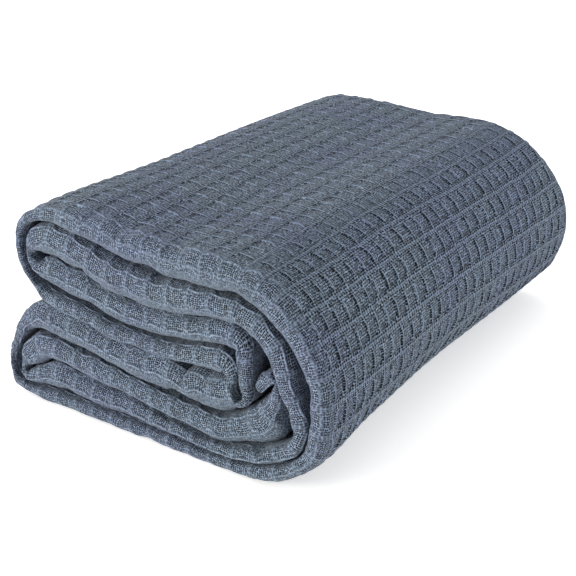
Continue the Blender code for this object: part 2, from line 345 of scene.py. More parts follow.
coarse_line = smooth_line(strip_spots(), PATH_STEP)
coarse_length = line_length(coarse_line)
coarse_halves = half_depths(coarse_line, left_normals(coarse_line))
line = smooth_line(strip_spots(), FINE_STEP)
line_normals = left_normals(line)
strip_length = coarse_length[-1]
lengths = line_length(line) * strip_length / line_length(line)[-1]
profile = np.column_stack([
    line[:, :2], line_normals, evened(turning(line, line_normals), TURN_EVENING),
    np.interp(lengths, coarse_length, coarse_halves[0]),
    np.interp(lengths, coarse_length, coarse_halves[1]), np.zeros(len(line)),
])
MIDDLE_X, MIDDLE_Z, NORMAL_X, NORMAL_Z, TURN, HALF_LEFT, HALF_RIGHT, INSET = range(8)
cut_lengths = {}
for end in (0, -1):
    forward = 1 if end else -1
    radius = min(profile[end, HALF_LEFT:HALF_RIGHT + 1]) * END_ROUNDING
    angles = np.linspace(0.0, math.pi / 2.0, END_CUTS + 1)[1:]
    cuts = np.tile(profile[end], (END_CUTS, 1))
    cuts[:, MIDDLE_X] += forward * radius * np.sin(angles) * profile[end, NORMAL_Z]
    cuts[:, MIDDLE_Z] -= forward * radius * np.sin(angles) * profile[end, NORMAL_X]
    cuts[:, TURN] = 0.0
    cuts[:, HALF_LEFT:HALF_RIGHT + 1] *= (1.0 - END_ROUNDING * (1.0 - np.cos(angles)))[:, None]
    cuts[:, INSET] = radius * (1.0 - np.cos(angles))
    past = lengths[end] + forward * radius * np.sin(angles)
    cut_lengths[end] = past[::forward]
    profile = np.vstack([profile, cuts] if end else [cuts[::-1], profile])
    lengths = np.concatenate([lengths, past] if end else [past[::-1], lengths])

edge_depth = np.clip(
    EDGE_DEPTH_SHARE * (profile[:, HALF_LEFT] + profile[:, HALF_RIGHT]),
    EDGE_DEPTH_LEAST, EDGE_DEPTH_MOST,
)
flat_half = BUNDLE_LENGTH / 2.0 - profile[:, INSET] - edge_depth
edge_angle = np.linspace(0.0, math.pi, EDGE_ANGLES)


def edge_curve(angle, left, right, depth):
    """The rounded edge: how far to the left, and how far past the flat faces."""
    power = 2.0 / EDGE_SQUARENESS
    half = np.where(angle < math.pi / 2.0, left, right)
    offset = half * np.sign(np.cos(angle)) * np.abs(np.cos(angle)) ** power
    return offset, depth * np.abs(np.sin(angle)) ** power


curve = edge_curve(edge_angle, profile[:, HALF_LEFT:HALF_LEFT + 1],
                   profile[:, HALF_RIGHT:HALF_RIGHT + 1], edge_depth[:, None])
edge_girth = np.hypot(np.diff(curve[0], axis=1), np.diff(curve[1], axis=1)).cumsum(axis=1)
edge_girth = np.hstack([np.zeros((len(lengths), 1)), edge_girth])
left_girth = edge_girth[:, EDGE_ANGLES // 2]
right_girth = edge_girth[:, -1] - left_girth

# The weave's lines on the cloth. Smooth bands run along the bundle, at these
# lengths along the strip at its far, middle and near part, and thin ribs run from
# band to band, at these places along the bundle. They were measured on the top and
# the wrapped side, and go on from there at an even distance.
BandLine = namedtuple("BandLine", "number far middle near")
BAND_LINES = (
    BandLine(-8, 1196.0, 1196.0, 1196.0),
    BandLine(0, 1331.0, 1335.0, 1339.5),
    BandLine(2, 1360.5, 1362.5, 1369.5),
    BandLine(4, 1393.0, 1395.0, 1404.0),
    BandLine(7, 1446.0, 1447.5, 1454.5),
    BandLine(9, 1482.0, 1482.0, 1485.5),
    BandLine(11, 1511.0, 1511.0, 1512.0),
    BandLine(13, 1547.0, 1545.5, 1546.0),
    BandLine(16, 1606.0, 1603.0, 1601.5),
    BandLine(20, 1674.0, 1674.0, 1674.0),
)
BAND_PLACE = 100.0
BAND_BEND_MOST = 1.4
BAND_SPACING = 17.4
RibLine = namedtuple("RibLine", "along far middle near end")
RIB_LINES = (
    RibLine(1342.0, 131.0, 13.0, -102.0, -163.0),
    RibLine(1368.0, 130.0, 12.5, -103.0, -166.0),
    RibLine(1450.0, 122.5, 7.0, -108.5, -169.0),
    RibLine(1491.0, 118.5, 1.0, -110.0, -171.0),
    RibLine(1518.0, 119.0, 3.0, -103.0, -164.5),
    RibLine(1553.0, 114.0, 1.0, -105.0, -165.0),
    RibLine(1603.0, 112.0, 3.0, -107.5, -168.0),
)
RIB_NUMBERS = {"end": -5.0, "near": 0.0, "middle": 8.0, "far": 16.0}
RIB_EVENING = 25
RIB_SPACING = 13.2


def band_length(number, y):
    """The length along the strip of a line of the weave, at a place along Y."""
    numbers = [row.number for row in BAND_LINES]
    at = []
    for part in ("far", "middle", "near"):
        marks = [getattr(row, part) for row in BAND_LINES]
        before = np.minimum(number - numbers[0], 0.0) * BAND_SPACING
        after = np.maximum(number - numbers[-1], 0.0) * BAND_SPACING
        at.append(np.interp(number, numbers, marks) + before + after)
    far, middle, near = at
    t = np.clip(y / BAND_PLACE, -BAND_BEND_MOST, BAND_BEND_MOST)
    return middle + (far - near) / 2.0 * t + ((far + near) / 2.0 - middle) * t * t


def rib_marks(length):
    """Where the four measured ribs run at a length along the strip."""
    marks = {}
    for part in RIB_NUMBERS:
        row = np.interp(lengths, [r.along for r in RIB_LINES], [getattr(r, part) for r in RIB_LINES])
        marks[part] = np.interp(length, lengths, evened(row, RIB_EVENING))
    return marks


def between(value, knots, results):
    """Straight stretches through the knots, going on past the first and last."""
    found = results[0] + (value - knots[0]) * (results[1] - results[0]) / (knots[1] - knots[0])
    for i in range(1, len(knots) - 1):
        slant = (results[i + 1] - results[i]) / (knots[i + 1] - knots[i])
        found = np.where(value > knots[i], results[i] + (value - knots[i]) * slant, found)
    return found


def rib_number(length, y):
    """The number of the rib that runs at a place of the face."""
    return between(y, list(rib_marks(length).values()), list(RIB_NUMBERS.values()))


def rib_place(length, number):
    """Where on the face a rib runs."""
    return between(number, list(RIB_NUMBERS.values()), list(rib_marks(length).values()))


# Round the strip's two edges the ribs go on from those that show on the face. In
# the inner folds a row of cells lies just above the middle of each edge.
SEEN_FROM = 1290.0
SEEN_TO = 1655.0
SEEN_FADE = 45.0
EDGE_RIB = -7.5
ROW_LIFT = 4.5
UPWARD = (0.25, 0.968)
up = profile[:, NORMAL_X:NORMAL_Z + 1] @ np.array(UPWARD)
seen = np.clip((lengths - SEEN_FROM) / SEEN_FADE + 1.0, 0.0, 1.0)
seen = np.minimum(seen, np.clip((SEEN_TO - lengths) / SEEN_FADE + 1.0, 0.0, 1.0))
rim = rib_number(lengths, -flat_half)
near_apex = seen * (rim - left_girth / RIB_SPACING)
near_apex += (1.0 - seen) * (EDGE_RIB - ROW_LIFT / RIB_SPACING * up)
rib_shift = near_apex + left_girth / RIB_SPACING - rim
far_apex = rib_number(lengths, flat_half) + rib_shift + left_girth / RIB_SPACING

# The net's lines run along the weave's: closer together on each band and rib, where
# the cloth stands up, than in the pits. Only some run on where no one sees the cloth.
BAND_STEPS = (0.0, 0.045, 0.09, 0.135, 0.19, 0.27, 0.38, 0.5, 0.62, 0.73, 0.81, 0.865, 0.91, 0.955)
RIB_STEPS = (0.0, 0.045, 0.09, 0.15, 0.24, 0.37, 0.5, 0.63, 0.76, 0.85, 0.91, 0.955)
NEAR_RIBS = (-10.5, -4.5)
FAR_RIBS = (18.5, 25.0)
HIDDEN_STEP = 14
HIDDEN_COLUMNS = 14
LINE_CLEARANCE = 0.02
# The strip's stretches: the band each starts from, and whether it shows.
Stretch = namedtuple("Stretch", "name start shows")
STRETCHES = (
    Stretch("blanket_inner_roll", -99.0, False),
    Stretch("blanket_inner_folds", -42.5, False),
    Stretch("blanket_top", -5.5, True),
    Stretch("blanket_wrap", 8.5, True),
    Stretch("blanket_floor_run", 20.5, False),
    Stretch("blanket_lower_lobe", 29.5, True),
    Stretch("blanket_loose_run", 36.5, False),
)


def net_lines(first, last, steps):
    """The numbers of the net's lines between two numbers of the weave."""
    cells = np.arange(math.floor(first), math.ceil(last) + 1)
    lines = (cells[:, None] + np.array(steps)).ravel()
    return lines[(lines > first + LINE_CLEARANCE) & (lines < last - LINE_CLEARANCE)]


first_band = BAND_LINES[0].number - BAND_LINES[0].middle / BAND_SPACING
last_band = BAND_LINES[-1].number + (strip_length - BAND_LINES[-1].middle) / BAND_SPACING
bands = np.concatenate([
    first_band + cut_lengths[0] / BAND_SPACING, [first_band],
    net_lines(first_band, last_band, BAND_STEPS),
    [last_band], last_band + (cut_lengths[-1] - strip_length) / BAND_SPACING,
])
near_ribs = net_lines(NEAR_RIBS[0], NEAR_RIBS[1], RIB_STEPS)
face_ribs = net_lines(NEAR_RIBS[1], FAR_RIBS[0], RIB_STEPS)
far_ribs = net_lines(FAR_RIBS[0], FAR_RIBS[1], RIB_STEPS)
ribs = np.concatenate([near_ribs, face_ribs, far_ribs])
stations = len(bands)
columns = len(ribs) + HIDDEN_COLUMNS
kept = np.ones(columns, bool)
kept[len(near_ribs):len(near_ribs) + len(face_ribs)] = False
kept[len(near_ribs):len(near_ribs) + len(face_ribs):HIDDEN_STEP] = True


def along_strip(values, length):
    """The values of the strip's shape at lengths along it."""
    return np.interp(length, lengths, values)


def round_edge(length, girth_from_apex):
    """The place on the rounded edge at a distance round it from its middle."""
    row = np.clip(np.searchsorted(lengths, length) - 1, 0, len(lengths) - 2)
    share = ((length - lengths[row]) / (lengths[row + 1] - lengths[row]))[:, None]
    girths = edge_girth[row] * (1.0 - share) + edge_girth[row + 1] * share
    wanted = girths[:, EDGE_ANGLES // 2] - girth_from_apex
    spot = np.clip((girths < wanted[:, None]).sum(axis=1) - 1, 0, EDGE_ANGLES - 2)
    rows = np.arange(len(spot))
    start = girths[rows, spot]
    fraction = np.clip((wanted - start) / (girths[rows, spot + 1] - start), 0.0, 1.0)
    angle = (spot + fraction) * edge_angle[1]
    return edge_curve(angle, along_strip(profile[:, HALF_LEFT], length),
                      along_strip(profile[:, HALF_RIGHT], length),
                      along_strip(edge_depth, length))


# Each point of the net: its length along the strip, and its place across it. The
# lines wander and drift a little, and a rib bows between two bands.
RIB_BOW = 1.7
LINE_WANDER = 0.9
LINE_DRIFT = 2.0
WANDER_SPAN = 0.45
DRIFT_SPAN = 0.09
DRIFT_LEVEL = 7.0
WANDER_SEED = 7
CALM_ENDS = 40.0
PLACING_ROUNDS = 3
noise.seed_set(WANDER_SEED)
band_grid = np.repeat(bands[:, None], columns, axis=1)
rib_grid = np.repeat(np.concatenate([ribs, np.zeros(HIDDEN_COLUMNS)])[None, :], stations, axis=0)
weave = slice(0, len(ribs))
length = band_length(band_grid, np.zeros_like(band_grid))
for _ in range(PLACING_ROUNDS):
    shift = along_strip(rib_shift, length[:, weave])
    y = rib_place(length[:, weave], rib_grid[:, weave] - shift)
    length[:, weave] = band_length(band_grid[:, weave], y)
calm = np.clip(np.minimum(length, strip_length - length) / CALM_ENDS, 0.0, 1.0)
slide = np.zeros((stations, columns))
drift = RIB_BOW * np.sin(math.pi * np.mod(band_grid, 1.0))
for i in range(stations):
    for j in range(len(ribs)):
        a = bands[i]
        b = ribs[j]
        fine = noise.noise_vector((a * WANDER_SPAN, b * WANDER_SPAN, 0.0))
        broad = noise.noise_vector((a * DRIFT_SPAN, b * DRIFT_SPAN, DRIFT_LEVEL))
        slide[i, j] = LINE_WANDER * fine[0] + LINE_DRIFT * broad[0]
        drift[i, j] += LINE_WANDER * fine[1] + LINE_DRIFT * broad[1]
length = length + slide * calm
offset, places, girth = np.zeros((3, stations, columns))
round_share = np.ones((stations, columns))
flat = along_strip(flat_half, length)
left = along_strip(profile[:, HALF_LEFT], length)
right = along_strip(profile[:, HALF_RIGHT], length)
halfway = len(near_ribs) + len(face_ribs) // 2
for part, apexes, end in (
    (slice(0, halfway), near_apex, -1),
    (slice(halfway, len(ribs)), far_apex, 1),
):
    at = length[:, part]
    number = rib_grid[:, part] + drift[:, part] * calm[:, part] / RIB_SPACING
    round_it = -end * (number - along_strip(apexes, at)) * RIB_SPACING
    to_left = along_strip(left_girth, at)
    to_right = along_strip(right_girth, at)
    on_left = round_it >= to_left
    on_right = round_it <= -to_right
    face = rib_place(at, number - along_strip(rib_shift, at))
    hidden = end * (flat[:, part] - (-to_right - round_it))
    edge_offset, past = round_edge(at.ravel(), np.clip(round_it, -to_right, to_left).ravel())
    edge_offset = edge_offset.reshape(at.shape)
    edge_place = end * (flat[:, part] + past.reshape(at.shape))
    offset[:, part] = np.where(on_left, left[:, part], np.where(on_right, -right[:, part], edge_offset))
    places[:, part] = np.where(on_left, face, np.where(on_right, hidden, edge_place))
    girth[:, part] = np.clip(round_it, -to_right, to_left)
    round_share[:, part] = np.abs(girth[:, part]) / np.where(round_it > 0.0, to_left, to_right)
last = len(ribs) - 1
for i in range(HIDDEN_COLUMNS):
    share = (i + 1.0) / (HIDDEN_COLUMNS + 1.0)
    j = len(ribs) + i
    places[:, j] = places[:, last] * (1.0 - share) + places[:, 0] * share
    length[:, j] = length[:, last] * (1.0 - share) + length[:, 0] * share
    rib_grid[:, j] = rib_grid[:, last] * (1.0 - share) + rib_grid[:, 0] * share
    offset[:, j] = -along_strip(profile[:, HALF_RIGHT], length[:, j])
flat = along_strip(flat_half, length)
inward = np.maximum(flat - np.abs(places), 0.0)
side = np.sign(offset)

# Where two layers stand apart at the end that is seen, the strip is pinched: its
# length along the strip, the side (1 the left), and in millimetres how long and how
# deep. A pinch less than 0 is a bulge.
Pinch = namedtuple("Pinch", "at side long deep")
PINCHES = (
    Pinch(1390.0, -1, 26.0, 2.2),
    Pinch(736.0, -1, 26.0, 1.6),
    Pinch(1575.0, -1, 18.0, 1.0),
    Pinch(578.0, -1, 22.0, 0.8),
    Pinch(550.0, -1, 14.0, -1.3),
    Pinch(765.0, 1, 5.0, 4.0),
    Pinch(884.0, 1, 6.0, 3.0),
    Pinch(1200.0, 1, 10.0, 1.6),
    Pinch(42.0, 1, 7.0, 7.0),
    Pinch(503.0, 1, 6.0, 3.0),
    Pinch(268.0, 1, 12.0, -2.5),
    Pinch(298.0, 1, 8.0, -2.0),
    Pinch(283.0, -1, 10.0, 2.4),
    Pinch(1903.0, -1, 10.0, 1.8),
)
PINCH_REACH = 17.0
LEAST_LEFT = 0.25
at_end = np.exp(-((places + BUNDLE_LENGTH / 2.0) / PINCH_REACH) ** 2)
for pinch in PINCHES:
    share = at_end * np.exp(-((length - pinch.at) / pinch.long) ** 2)
    half = left if pinch.side > 0 else right
    thinner = np.maximum(1.0 - pinch.deep * share / half, LEAST_LEFT)
    offset = np.where(side == pinch.side, offset * thinner, offset)

# There the layers also gape here and there.
GAPE = 0.45
GAPE_LENGTH = 23.0
GAPE_LEVEL = 9.0
SIDES_APART = 5.0
for number, half_side in enumerate((1, -1)):
    row = [noise.noise((a / GAPE_LENGTH, SIDES_APART * number, GAPE_LEVEL)) for a in lengths]
    thinner = 1.0 - GAPE * along_strip(np.maximum(row, 0.0), length) * at_end
    offset = np.where(side == half_side, offset * thinner, offset)

# Lengths along the strip, and how far its edge lies back there from the bundle's end.
RECESSES = (
    (0.0, 5.0), (60.0, 4.0), (94.0, 2.0), (240.0, 1.0), (470.0, 1.0), (560.0, 0.3),
    (800.0, 0.0), (822.0, 1.5), (850.0, 3.5), (990.0, 4.0), (1040.0, 1.0), (1092.0, 1.8),
    (1240.0, 0.5), (1254.0, 0.0), (1950.0, 0.0), (1975.0, 1.5), (2090.0, 3.0), (2126.0, 4.5),
)
RECESS_REACH = 30.0
WAVE = 1.3
WAVE_LENGTH = 21.0
WAVE_LEVEL = 3.0
BACK_EVENING = 21
back = evened(np.interp(lengths, *zip(*RECESSES)), BACK_EVENING)
wave = np.array([noise.noise((a / WAVE_LENGTH, 0.0, WAVE_LEVEL)) for a in lengths])
for end, amount in ((-1, back + WAVE * (1.0 + wave)), (1, WAVE * (1.0 - wave))):
    share = np.exp(-((places - end * BUNDLE_LENGTH / 2.0) / RECESS_REACH) ** 2)
    places = places - end * along_strip(amount, length) * share

# How strongly the weave stands out: less where a bend presses the cloth together,
# and not at all deep between two layers, where painted shade makes it a little darker
# too, as it does where each edge rounds in between two layers. Below the middle of
# each edge the cloth is drawn smooth, and near the ends it is crumpled.
SLIT_FADE = 12.0
LEAST_STRENGTH = 0.2
SMOOTH_FROM = 2.0
SMOOTH_TO = 5.0
SMOOTH_REACH = 10.0
SMOOTH_HOLES = 0.85
SMOOTH_RELIEF = 0.55
CREVICE_FROM = 0.45
CALM_FACE = 0.3
CRUMPLED_REACH = 25.0
OPEN_ALONG = (1300.0, 1440.0, 1500.0)
OPEN_HOLES = (1.0, 0.95, 1.0)
deep_half = 0.5 * (left + right)
stretched = 1.0 - side * deep_half * along_strip(profile[:, TURN], length)
strength = np.clip(stretched, LEAST_STRENGTH, 1.0)
shown = np.zeros(stations, bool)
piece_of = np.zeros(stations, int)
fade = np.zeros(stations)
for number, stretch in enumerate(STRETCHES):
    here = bands >= stretch.start
    piece_of[here] = number
    shown[here] = stretch.shows
for number, stretch in enumerate(STRETCHES[:-1]):
    if stretch.shows:
        past = np.minimum(bands - stretch.start, STRETCHES[number + 1].start - bands)
        if STRETCHES[number + 1].shows:
            past = bands - stretch.start
        if STRETCHES[number - 1].shows:
            past = STRETCHES[number + 1].start - bands
        fade[piece_of == number] = np.clip(past[piece_of == number], 0.0, 1.0)
shallow = 1.0 - np.clip(inward / SLIT_FADE, 0.0, 1.0)
left_part = (side > 0) & (inward > 0.0)
shallow = np.where(left_part, np.maximum(fade[:, None], shallow), shallow)
strength = strength * shallow
below = -girth * along_strip(up, length)
smooth = np.clip((below - SMOOTH_FROM) / (SMOOTH_TO - SMOOTH_FROM), 0.0, 1.0)
smooth = smooth * np.clip(1.0 - inward / SMOOTH_REACH, 0.0, 1.0)
# The weave's openness also fades deeper into each slit, so the shader leaves the cloth darker there:
# painted shade.
open_holes_and_slit_shade = np.interp(length, OPEN_ALONG, OPEN_HOLES) * (1.0 - SMOOTH_HOLES * smooth) * shallow
# Painted shade: darker where each edge rounds in between two layers, though not on the outer side of
# the pieces that show.
painted_crevice_shade = np.clip((round_share - CREVICE_FROM) / (1.0 - CREVICE_FROM), 0.0, 1.0) ** 2
painted_crevice_shade = painted_crevice_shade * (1.0 - (side > 0) * fade[:, None])
crumple = CALM_FACE + (1.0 - CALM_FACE) * np.clip(1.0 - inward / CRUMPLED_REACH, 0.0, 1.0)
open_holes_and_slit_shade[:, len(ribs):] = 0.0
strength[:, len(ribs):] = 0.0
strength = strength * (1.0 - SMOOTH_RELIEF * smooth)

# Which way the pits lean: on the top their floors fall towards the band behind them,
# and down the wrapped side towards the one in front.
LEAN_ALONG = (1290.0, 1325.0, 1480.0, 1500.0, 1650.0, 1690.0)
LEAN = (0.0, -1.0, -1.0, 1.0, 1.0, 0.0)
LEAN_FADE = 6.0
lean = np.interp(length, LEAN_ALONG, LEAN) * (side > 0) * np.clip(inward / LEAN_FADE, 0.0, 1.0)

middle_x, middle_z, normal_x, normal_z = (
    along_strip(profile[:, column], length) for column in (MIDDLE_X, MIDDLE_Z, NORMAL_X, NORMAL_Z)
)
unit = np.hypot(normal_x, normal_z)
spots = place(middle_x + offset * normal_x / unit, places, middle_z + offset * normal_z / unit)

# Where the finer net meets the coarser one, its points lie on the coarser one's
# lines, so that no slit opens between the two.
for station in range(1, stations):
    if shown[station] != shown[station - 1]:
        for axis in range(3):
            spots[station, :, axis] = np.interp(
                np.arange(columns), np.flatnonzero(kept), spots[station, kept, axis]
            )

# The net's points that are used, and the four-sided faces between them.
used = np.zeros((stations, columns), bool)
for station in range(stations):
    used[station] = kept
    if shown[station] or (station and shown[station - 1]):
        used[station] = True
index = np.full((stations, columns), -1)
index[used] = np.arange(used.sum())
points = spots[used] * MM
net_values = {
    "band": band_grid[used], "rib": rib_grid[used], "strength": strength[used],
    "lean": lean[used], "crumple": crumple[used], "painted_crevice_shade": painted_crevice_shade[used],
    "holes_and_slit_shade": open_holes_and_slit_shade[used],
}

faces = []
face_piece = []
for station in range(stations - 1):
    row = np.flatnonzero(used[station] & used[station + 1])
    following = np.roll(row, -1)
    faces.append(np.stack([
        index[station, following], index[station, row],
        index[station + 1, row], index[station + 1, following],
    ], axis=1))
    face_piece.append(np.full(len(row), piece_of[station]))

# The strip's two ends are closed by rungs from the left side of the ring to the right.
for station, forward in ((0, 1), (stations - 1, -1)):
    row = np.flatnonzero(used[station])
    ring = index[station, np.roll(row, -int(np.argmin(places[station, row])))]
    rungs = len(ring) // 2 - 1
    facing = ring[::-1]
    quads = np.stack([ring[:rungs], ring[1:rungs + 1], facing[1:rungs + 1], facing[:rungs]], axis=1)
    faces.append(quads[:, ::forward])
    face_piece.append(np.full(rungs, piece_of[station]))
faces = np.vstack(faces)
face_piece = np.concatenate(face_piece)


def quick_mesh(name, points, faces):
    """A mesh of four-sided faces."""
    mesh = bpy.data.meshes.new(name)
    mesh.vertices.add(len(points))
    mesh.vertices.foreach_set("co", np.asarray(points, np.float32).ravel())
    mesh.loops.add(faces.size)
    mesh.loops.foreach_set("vertex_index", faces.astype(np.int32).ravel())
    mesh.polygons.add(len(faces))
    mesh.polygons.foreach_set("loop_start", np.arange(0, faces.size, 4, dtype=np.int32))
    mesh.update(calc_edges=True)
    mesh.validate()
    return mesh


net = quick_mesh("net", points, faces)
for name in ("band", "rib", "strength", "lean", "crumple"):
    layer = net.attributes.new(name, "FLOAT", "POINT")
    layer.data.foreach_set("value", net_values[name].astype(np.float32))
net.shade_smooth()

# The cotton: dyed slate blue and matt, woven in round threads. The pits are a
# plain weave with small dark holes; on the bands the threads lie side by side,
# with a raised cord down the middle, and a loose thread makes each rib. Sizes are
# in millimetres.
CELL_SIZE = (17.4, 13.3)
PIT_HALF = (6.5, 5.2)
PIT_ROUNDNESS = 3.0
BAND_HALF = 2.2
BAND_BLUR = 0.5
CORD_HALF = 0.45
RIB_HALF = 0.55
CORD_BLUR = 0.35
RIB_REACH = (2.6, CELL_SIZE[0] / 3.4)
BAND_CORD = 0.5
TOP_CORD = 0.5
CORD_ON_TOP = 0.9
CORD_ON_PLAIN = 0.45
WEAVE_UNEVENNESS = 0.32
JITTER_SCALE = 260.0
JITTER = (0.03, -0.04)
# Where a thing begins and where it is complete, by the pit measure further down,
# by the place in a cell, by the lean and by how open the weave is.
PIT_FADE = (1.2, 0.85)
DEEP_FADE = (1.5, 0.9)
DEEP_SIDE = (0.34, 0.14)
PLAIN_FADE = (0.4, 0.0)
CORD_FADE = (0.15, 0.6)

cotton = bpy.data.materials.new("slate_cotton")
cotton.use_nodes = True
tree = cotton.node_tree


def maths(tree, operation, *values, clamp=False):
    """A Math node of a shader or geometry tree, fed with sockets or numbers."""
    node = tree.nodes.new("ShaderNodeMath")
    node.operation = operation
    node.use_clamp = clamp
    for socket, value in zip(node.inputs, values):
        if hasattr(value, "links"):
            tree.links.new(value, socket)
        else:
            socket.default_value = value
    return node.outputs[0]


def slope(tree, value, low, high):
    """Smoothly from 0 where the value is low to 1 where it is high."""
    node = tree.nodes.new("ShaderNodeMapRange")
    node.interpolation_type = "SMOOTHSTEP"
    for name, entry in (("Value", value), ("From Min", low), ("From Max", high)):
        if hasattr(entry, "links"):
            tree.links.new(entry, node.inputs[name])
        else:
            node.inputs[name].default_value = entry
    return node.outputs["Result"]


def times(tree, *values):
    """The product of the values."""
    product = values[0]
    for value in values[1:]:
        product = maths(tree, "MULTIPLY", product, value)
    return product


def less(tree, *values):
    """What the product of the values leaves of 1."""
    return maths(tree, "SUBTRACT", 1.0, times(tree, *values))


def from_line(tree, value, size):
    """The distance from the nearest whole number, in millimetres."""
    shifted = maths(tree, "FRACT", maths(tree, "ADD", value, 0.5))
    return maths(tree, "ABSOLUTE", times(tree, maths(tree, "SUBTRACT", shifted, 0.5), size))


def pit_measure(tree, from_band, from_rib, size):
    """How far a spot is from the middle of its cell: 1 at the pit's rounded edge."""
    measure = []
    for distance, cell, half in zip((from_band, from_rib), size, PIT_HALF):
        inner = maths(tree, "SUBTRACT", times(tree, cell, 0.5), distance)
        inner = maths(tree, "DIVIDE", maths(tree, "MAXIMUM", inner, 0.0), half)
        measure.append(maths(tree, "POWER", inner, PIT_ROUNDNESS))
    return maths(tree, "ADD", *measure)


def blended(tree, share, first, second, kind="MIX"):
    """A colour between two others."""
    node = tree.nodes.new("ShaderNodeMix")
    node.data_type = "RGBA"
    node.blend_type = kind
    for position, value in ((0, share), (6, first), (7, second)):
        if hasattr(value, "links"):
            tree.links.new(value, node.inputs[position])
        else:
            node.inputs[position].default_value = value
    return node.outputs[2]


def cloudy(tree, vector, scale, detail):
    """A noise over the cloth."""
    node = tree.nodes.new("ShaderNodeTexNoise")
    set_inputs(node, {"Scale": scale, "Detail": detail})
    tree.links.new(vector, node.inputs["Vector"])
    return node.outputs[0]


DEPTH_BEHIND = 0.75
DEPTH_ACROSS = 0.8


def deep_side(tree, lean, band, rib, wide, narrow):
    """How near a spot is to the side of its pit that lies deepest."""
    along = maths(tree, "FRACT", band)
    across = maths(tree, "FRACT", rib)
    behind = times(tree, maths(tree, "MAXIMUM", times(tree, lean, -1.0), 0.0),
                   slope(tree, along, wide, narrow))
    before = maths(tree, "MAXIMUM", slope(tree, less(tree, along), wide, narrow),
                   times(tree, slope(tree, less(tree, across), wide, narrow), DEPTH_ACROSS))
    before = times(tree, maths(tree, "MAXIMUM", lean, 0.0), before)
    return maths(tree, "ADD", times(tree, behind, DEPTH_BEHIND), before)


def woven_holes(tree, along, across, count):
    """The distance from the nearest hole of an uneven weave, in threads."""
    spread = tree.nodes.new("ShaderNodeCombineXYZ")
    tree.links.new(times(tree, along, count[0]), spread.inputs[0])
    tree.links.new(times(tree, across, count[1]), spread.inputs[1])
    node = tree.nodes.new("ShaderNodeTexVoronoi")
    node.voronoi_dimensions = "2D"
    set_inputs(node, {"Scale": 1.0, "Randomness": WEAVE_UNEVENNESS})
    tree.links.new(spread.outputs[0], node.inputs["Vector"])
    return node.outputs["Distance"]


uv = tree.nodes.new("ShaderNodeUVMap")
uv.uv_map = "weave"
split = tree.nodes.new("ShaderNodeSeparateXYZ")
tree.links.new(uv.outputs["UV"], split.inputs[0])
carried = {}
for name in ("holes_and_slit_shade", "lean", "painted_crevice_shade"):
    node = tree.nodes.new("ShaderNodeAttribute")
    node.attribute_name = name
    carried[name] = node.outputs["Fac"]
open_weave_and_slit_shade = carried["holes_and_slit_shade"]
lean = carried["lean"]
coordinates = tree.nodes.new("ShaderNodeTexCoord")
spot = coordinates.outputs["Object"]
jitter = maths(tree, "SUBTRACT", cloudy(tree, spot, JITTER_SCALE, 1.0), 0.5)
band = maths(tree, "ADD", split.outputs["X"], times(tree, jitter, JITTER[0]))
rib = maths(tree, "ADD", split.outputs["Y"], times(tree, jitter, JITTER[1]))
from_band = from_line(tree, band, CELL_SIZE[0])
from_rib = from_line(tree, rib, CELL_SIZE[1])
pit_edge = pit_measure(tree, from_band, from_rib, CELL_SIZE)
pit = slope(tree, pit_edge, *PIT_FADE)
deepest = deep_side(tree, lean, band, rib, *DEEP_SIDE)
deepest = times(tree, deepest, slope(tree, pit_edge, *DEEP_FADE))
on_top = slope(tree, times(tree, lean, -1.0), 0.0, 1.0)
on_band = slope(tree, from_band, BAND_HALF + BAND_BLUR, BAND_HALF - BAND_BLUR)
on_cord = slope(tree, from_band, CORD_HALF + CORD_BLUR, CORD_HALF - CORD_BLUR)
on_cord = times(tree, on_cord, less(tree, on_top, CORD_ON_TOP), BAND_CORD)
on_rib = slope(tree, from_rib, RIB_HALF + CORD_BLUR, RIB_HALF - CORD_BLUR)
on_rib = times(tree, on_rib, slope(tree, from_band, *RIB_REACH))
plain = slope(tree, maths(tree, "ABSOLUTE", lean), *PLAIN_FADE)
cord = times(tree, maths(tree, "MAXIMUM", on_cord, on_rib), less(tree, plain, CORD_ON_PLAIN))
cord = times(tree, cord, maths(tree, "ADD", 1.0, times(tree, on_top, TOP_CORD)))
cord = times(tree, cord, slope(tree, open_weave_and_slit_shade, *CORD_FADE))

# Holes where four threads meet: round in the pits, longer round them. Each pair is
# where a hole ends and where it is darkest, in threads.
THREADS_A_CELL = (11.0, 8.5)
DASH_SQUEEZE = 0.55
PIT_HOLE = (0.46, 0.22)
DASH_HOLE = (0.50, 0.24)
HOLE_SCALE = 150.0
HOLE_GROWTH = 0.08
DEEP_GROWTH = 0.05
DASH_ON_PLAIN = 0.27
HOLE_ON_CORD = 0.5
pit_threads = woven_holes(tree, band, rib, THREADS_A_CELL)
band_threads = woven_holes(tree, band, rib, (THREADS_A_CELL[0], THREADS_A_CELL[1] * DASH_SQUEEZE))
wider = times(tree, cloudy(tree, spot, HOLE_SCALE, 1.0), HOLE_GROWTH)
# The holes are a little wider on each pit's deepest side, as painted shade there.
wider = maths(tree, "ADD", times(tree, deepest, DEEP_GROWTH), wider)
pit_hole = slope(tree, pit_threads, *(maths(tree, "ADD", wider, reach) for reach in PIT_HOLE))
dash_hole = slope(tree, band_threads, *(maths(tree, "ADD", wider, reach) for reach in DASH_HOLE))
dash_hole = times(tree, dash_hole, less(tree, pit), less(tree, plain, DASH_ON_PLAIN))
dash_hole = maths(tree, "MULTIPLY", dash_hole, less(tree, cord), clamp=True)
pit_hole = times(tree, pit_hole, pit, less(tree, cord, HOLE_ON_CORD))
hole = times(tree, maths(tree, "ADD", pit_hole, dash_hole, clamp=True), open_weave_and_slit_shade)
